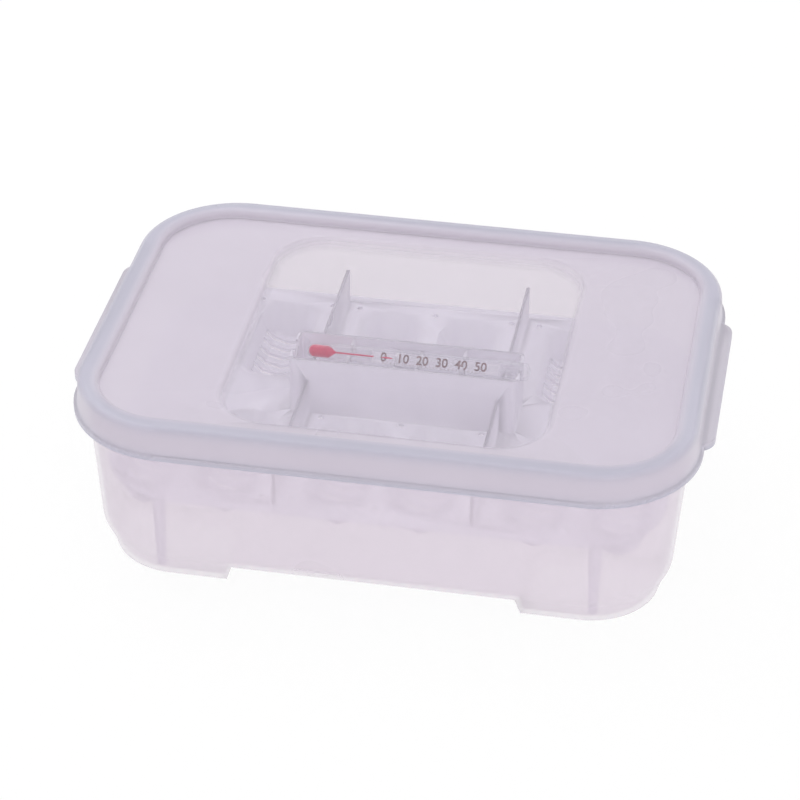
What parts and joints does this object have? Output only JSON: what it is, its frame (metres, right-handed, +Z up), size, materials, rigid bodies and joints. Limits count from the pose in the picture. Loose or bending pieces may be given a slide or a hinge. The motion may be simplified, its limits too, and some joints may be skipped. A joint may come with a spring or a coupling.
{
  "type": "reptile egg hatching tray",
  "caption": "Translucent lidded box with a lift-out egg tray of oval slit cups on legs and a glass spirit thermometer lying in its central trough.",
  "frame": {"origin": "centre of the outline, on the plane of the foot soles", "axes": "+X along the long side towards the thermometer's closed end, +Y across the box, +Z up"},
  "size_m": [0.243, 0.169, 0.0753],
  "materials": {
    "box_plastic": "milky translucent moulded polypropylene",
    "lid_plastic": "milky translucent moulded polypropylene with a clear centre",
    "tray_plastic": "milky translucent moulded polypropylene",
    "tube_glass": "clear drawn glass",
    "red_spirit": "red dyed thermometer spirit",
    "scale_strip": "pale strip with printed graduation"
  },
  "bodies": {
    "box": {"box": "box_plastic"},
    "tray": {"egg_tray": "tray_plastic"},
    "thermometer": {"thermometer_tube": "tube_glass", "thermometer_capillary": "tube_glass", "thermometer_spirit": "red_spirit", "thermometer_scale": "scale_strip"},
    "lid": {"lid": "lid_plastic"}
  },
  "joints": [
    {"name": "tray_lift", "type": "slide", "parent": "box", "child": "tray", "axis": [0, 0, 1], "range_m": [0, 0.085]},
    {"name": "thermometer_lift", "type": "slide", "parent": "tray", "child": "thermometer", "axis": [0, 0, 1], "range_m": [0, 0.02]},
    {"name": "lid_lift", "type": "slide", "parent": "thermometer", "child": "lid", "axis": [0, 0, 1], "range_m": [0, 0.04]}
  ]
}
